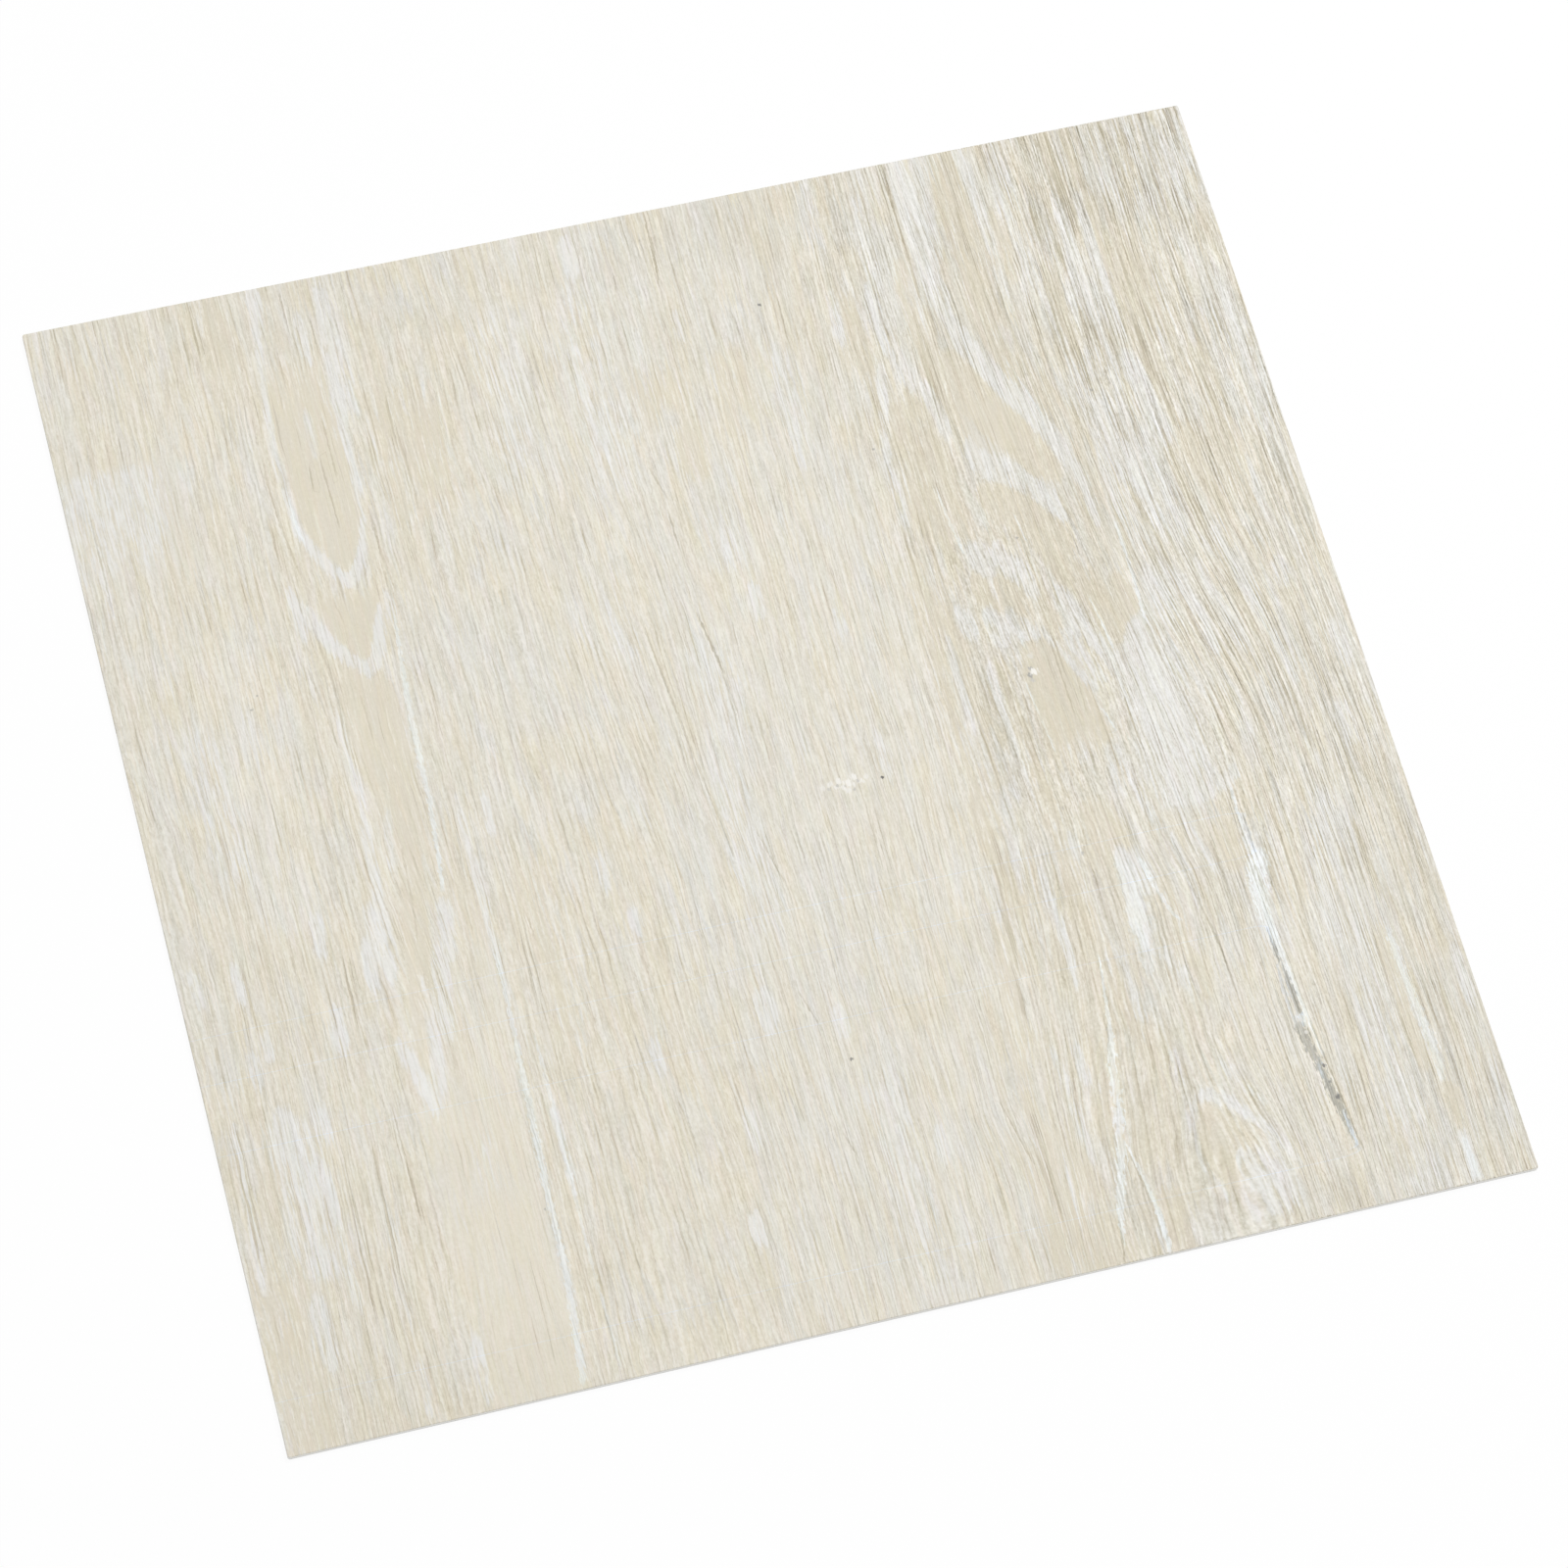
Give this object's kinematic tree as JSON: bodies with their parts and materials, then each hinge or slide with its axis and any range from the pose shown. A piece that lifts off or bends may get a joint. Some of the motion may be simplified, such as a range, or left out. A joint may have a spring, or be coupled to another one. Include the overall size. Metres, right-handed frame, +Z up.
{
  "type": "vinyl floor tile",
  "caption": "Square wood-look vinyl floor tile: a thin flat die-cut sheet with a whitewashed oak print and embossed grain, laid edge to edge.",
  "frame": {"origin": "middle of the back face, on the floor that the tile lies on", "axes": "+Z up out of the printed face, +Y along the printed grain, +X across it"},
  "size_m": [0.305, 0.305, 0.0015],
  "materials": {
    "printed_vinyl": "matte"
  },
  "bodies": {
    "root": {"vinyl_tile": "printed_vinyl"}
  },
  "joints": []
}
